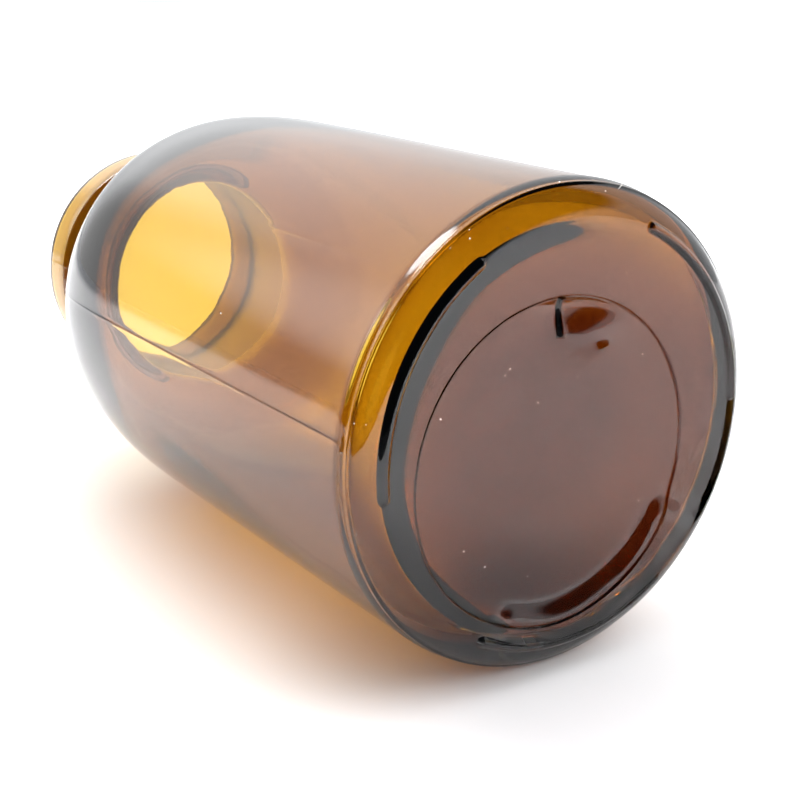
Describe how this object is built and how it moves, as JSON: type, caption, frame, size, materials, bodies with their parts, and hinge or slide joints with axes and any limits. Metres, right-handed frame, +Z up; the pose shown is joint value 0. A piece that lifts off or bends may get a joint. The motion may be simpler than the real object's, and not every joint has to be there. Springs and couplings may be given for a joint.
{
  "type": "reagent bottle",
  "caption": "Wide-mouth amber glass reagent bottle lying on its side, with its hollow flat-head ground-glass stopper standing beside it.",
  "frame": {"origin": "on the bench under the middle of the bottle's length, where the bottle's lowest side touches the bench", "axes": "+X along the bottle's axis from its mouth to its base, +Z up from the bench, -Y the bottle's near side"},
  "size_m": [0.268, 0.2016, 0.1068],
  "materials": {
    "amber_glass": "fire-polished moulded amber glass, clear and glossy, slightly wavy",
    "stopper_glass": "amber glass, polished head, ground satin plug"
  },
  "bodies": {
    "bottle": {"bottle": "amber_glass"},
    "stopper": {"stopper": "stopper_glass"}
  },
  "joints": [
    {"name": "stopper_lift", "type": "slide", "parent": "bottle", "child": "stopper", "axis": [0, 0, 1], "range_m": [0, 0.12]}
  ]
}
